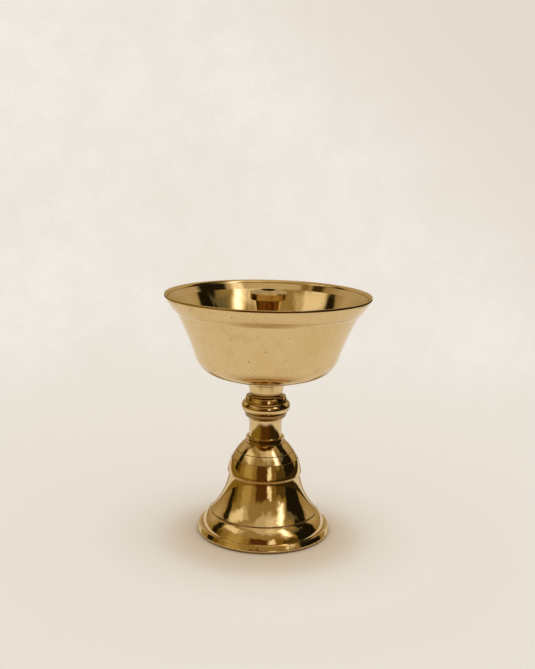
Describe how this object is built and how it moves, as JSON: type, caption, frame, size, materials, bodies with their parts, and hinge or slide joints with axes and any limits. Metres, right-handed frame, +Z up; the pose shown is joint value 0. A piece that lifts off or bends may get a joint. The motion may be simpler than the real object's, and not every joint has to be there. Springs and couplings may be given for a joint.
{
  "type": "butter lamp",
  "caption": "Footed brass butter lamp: flared bowl with a central wick post on a knopped stem and a hollow bell foot.",
  "frame": {"origin": "where the lamp's axis meets the surface that it stands on, at the middle of the foot ring", "axes": "+Z up the lamp's axis, from the foot to the rim; the lamp is round, so +X and +Y are any two sides"},
  "size_m": [0.088, 0.088, 0.1067],
  "materials": {
    "polished_brass": "polished, fine turning marks",
    "turned_brass": "turned, slightly darkened by use",
    "plated_steel": "dull plated steel",
    "oiled_leather": "oil-soaked"
  },
  "bodies": {
    "base": {"foot": "polished_brass", "stem": "polished_brass", "tie_rod": "plated_steel", "foot_washer": "plated_steel", "foot_nut": "plated_steel"},
    "bowl": {"bowl": "polished_brass"},
    "seal": {"sealing_washer": "oiled_leather"},
    "wick_holder": {"wick_holder": "turned_brass"}
  },
  "joints": [
    {"name": "bowl_lift", "type": "slide", "parent": "base", "child": "bowl", "axis": [0, 0, 1], "range_m": [0, 0.02]},
    {"name": "wick_holder_rise", "type": "slide", "parent": "bowl", "child": "seal", "axis": [0, 0, 1], "range_m": [0, 0.006]},
    {"name": "wick_holder_turn", "type": "hinge", "parent": "seal", "child": "wick_holder", "pos_m": [0, 0, 0.0696], "axis": [0, 0, 1], "range_deg": [0, 2160]}
  ],
  "couplings": [
    {"joint": "wick_holder_rise", "follows": "wick_holder_turn", "m_per_rad": 0.00015915}
  ]
}
